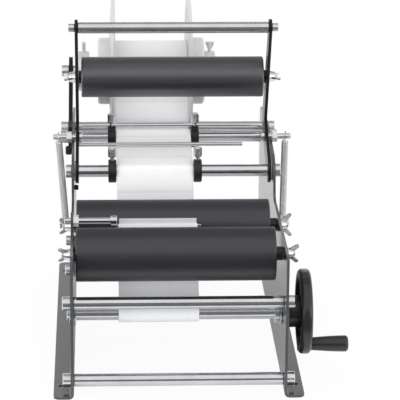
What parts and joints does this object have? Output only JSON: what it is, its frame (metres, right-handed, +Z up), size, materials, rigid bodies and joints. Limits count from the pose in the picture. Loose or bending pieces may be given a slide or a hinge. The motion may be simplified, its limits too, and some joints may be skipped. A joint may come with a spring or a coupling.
{
  "type": "bottle labelling machine",
  "caption": "Hand-cranked bottle labelling machine with bent side plates, rubber rollers, a swinging top roller, a label reel and a crank that winds the spent liner",
  "frame": {"origin": "on the floor at the centre of the four foot holes", "axes": "+X is the crank side, +Y points to the label reel at the back, +Z up"},
  "size_m": [0.28, 0.458, 0.31],
  "materials": {
    "plate_grey": "satin dark grey powder coat",
    "black_steel": "semi-matt black",
    "chrome": "polished chrome",
    "bright_screw": "bright zinc",
    "nickel": "pale nickel plate",
    "rubber": "satin charcoal",
    "roller_core": "turned",
    "peel_steel": "brushed",
    "nylon": "natural white",
    "spring_steel": "zinc plated wire",
    "bakelite": "black, polished",
    "paper": "white coated paper",
    "disc_plastic": "white, smooth",
    "holder_alloy": "satin light grey",
    "guide_black": "black",
    "stop_black": "black"
  },
  "bodies": {
    "frame": {"left_side_plate": "plate_grey", "right_side_plate": "plate_grey", "front_tie_rod": "chrome", "upper_tie_rod": "chrome", "pivot_rod": "chrome", "web_guide_rod": "chrome", "rear_guide_rod": "chrome", "lower_guide_rods": "chrome", "frame_screws": "bright_screw", "peel_plate": "peel_steel", "stop_pin": "stop_black", "shaft_bushes": "bright_screw", "label_web": "paper", "label_bracket": "black_steel", "label_shaft": "chrome", "left_holder_collar": "holder_alloy", "left_holder_screw": "nickel", "right_holder_collar": "holder_alloy", "right_holder_screw": "nickel"},
    "front_axle_set": {"front_axle": "chrome", "front_spacers": "guide_black", "front_wing_nuts": "nickel"},
    "front_roller": {"front_sleeve": "rubber", "front_core": "roller_core"},
    "rear_axle_set": {"rear_axle": "chrome", "rear_spacers": "guide_black", "rear_wing_nuts": "nickel"},
    "rear_roller": {"rear_sleeve": "rubber", "rear_core": "roller_core"},
    "arms": {"left_arm": "black_steel", "right_arm": "black_steel", "arm_tie_rod": "chrome", "arm_screws": "bright_screw", "arm_washers": "nylon", "web_press_rod": "chrome"},
    "top_axle_set": {"top_axle": "chrome", "top_spacers": "guide_black", "top_wing_nuts": "nickel"},
    "top_roller": {"top_sleeve": "rubber", "top_core": "roller_core"},
    "left_spring_link": {"left_spring": "spring_steel"},
    "right_spring_link": {"right_spring": "spring_steel"},
    "crank": {"take_up_shaft": "chrome", "shaft_collars": "bright_screw", "handwheel": "bakelite", "handle_spindle": "bright_screw", "wound_liner": "paper"},
    "grip": {"handle_grip": "bakelite"},
    "label_reel": {"label_roll": "paper", "left_reel_flange": "disc_plastic", "right_reel_flange": "disc_plastic"},
    "pivot_left_guide": {"pivot_guide_left": "guide_black", "pivot_thumb_left": "bright_screw"},
    "pivot_right_guide": {"pivot_guide_right": "guide_black", "pivot_thumb_right": "bright_screw"},
    "rod_left_guide": {"rod_guide_left": "guide_black", "rod_thumb_left": "bright_screw"},
    "rod_right_guide": {"rod_guide_right": "guide_black", "rod_thumb_right": "bright_screw"},
    "stop": {"bottle_stop": "bright_screw"}
  },
  "joints": [
    {"name": "front_roller_set", "type": "slide", "parent": "frame", "child": "front_axle_set", "axis": [0, 1, 0], "range_m": [-0.015, 0.005]},
    {"name": "front_roller_spin", "type": "hinge", "parent": "front_axle_set", "child": "front_roller", "pos_m": [0, -0.1475, 0.128], "axis": [1, 0, 0], "continuous": true},
    {"name": "rear_roller_set", "type": "slide", "parent": "frame", "child": "rear_axle_set", "axis": [0, 1, 0], "range_m": [-0.003, 0.012]},
    {"name": "rear_roller_spin", "type": "hinge", "parent": "rear_axle_set", "child": "rear_roller", "pos_m": [0, -0.0655, 0.1285], "axis": [1, 0, 0], "continuous": true},
    {"name": "arm_swing", "type": "hinge", "parent": "frame", "child": "arms", "pos_m": [0, 0.0105, 0.16], "axis": [1, 0, 0], "range_deg": [0, 90]},
    {"name": "top_roller_set", "type": "slide", "parent": "arms", "child": "top_axle_set", "axis": [0, -0.4595, 0.8882], "range_m": [-0.015, 0.025]},
    {"name": "top_roller_spin", "type": "hinge", "parent": "top_axle_set", "child": "top_roller", "pos_m": [0, 0.05214, 0.2447], "axis": [1, 0, 0], "continuous": true},
    {"name": "left_spring_swing", "type": "hinge", "parent": "frame", "child": "left_spring_link", "pos_m": [-0.1055, -0.0315, 0.1193], "axis": [1, 0, 0], "range_deg": [0, 39.5], "deforming": ["left_spring"]},
    {"name": "right_spring_swing", "type": "hinge", "parent": "frame", "child": "right_spring_link", "pos_m": [0.1055, -0.0315, 0.1193], "axis": [1, 0, 0], "range_deg": [0, 39.5], "deforming": ["right_spring"]},
    {"name": "crank_turn", "type": "hinge", "parent": "frame", "child": "crank", "pos_m": [0, -0.1379, 0.067], "axis": [1, 0, 0], "continuous": true},
    {"name": "grip_spin", "type": "hinge", "parent": "crank", "child": "grip", "pos_m": [0, -0.1379, 0.034], "axis": [1, 0, 0], "continuous": true},
    {"name": "reel_turn", "type": "hinge", "parent": "frame", "child": "label_reel", "pos_m": [0, 0.1945, 0.2135], "axis": [1, 0, 0], "continuous": true},
    {"name": "pivot_left_guide_slide", "type": "slide", "parent": "frame", "child": "pivot_left_guide", "axis": [1, 0, 0], "range_m": [-0.02, 0]},
    {"name": "pivot_right_guide_slide", "type": "slide", "parent": "frame", "child": "pivot_right_guide", "axis": [1, 0, 0], "range_m": [0, 0.04]},
    {"name": "rod_left_guide_slide", "type": "slide", "parent": "frame", "child": "rod_left_guide", "axis": [1, 0, 0], "range_m": [-0.02, 0]},
    {"name": "rod_right_guide_slide", "type": "slide", "parent": "frame", "child": "rod_right_guide", "axis": [1, 0, 0], "range_m": [0, 0.04]},
    {"name": "stop_set", "type": "slide", "parent": "frame", "child": "stop", "axis": [1, 0, 0], "range_m": [-0.01, 0.003]}
  ],
  "couplings": [
    {"joint": "left_spring_swing", "follows": "arm_swing", "ratio": 0.4328},
    {"joint": "right_spring_swing", "follows": "arm_swing", "ratio": 0.4328},
    {"joint": "reel_turn", "follows": "crank_turn", "ratio": 0.28125}
  ]
}
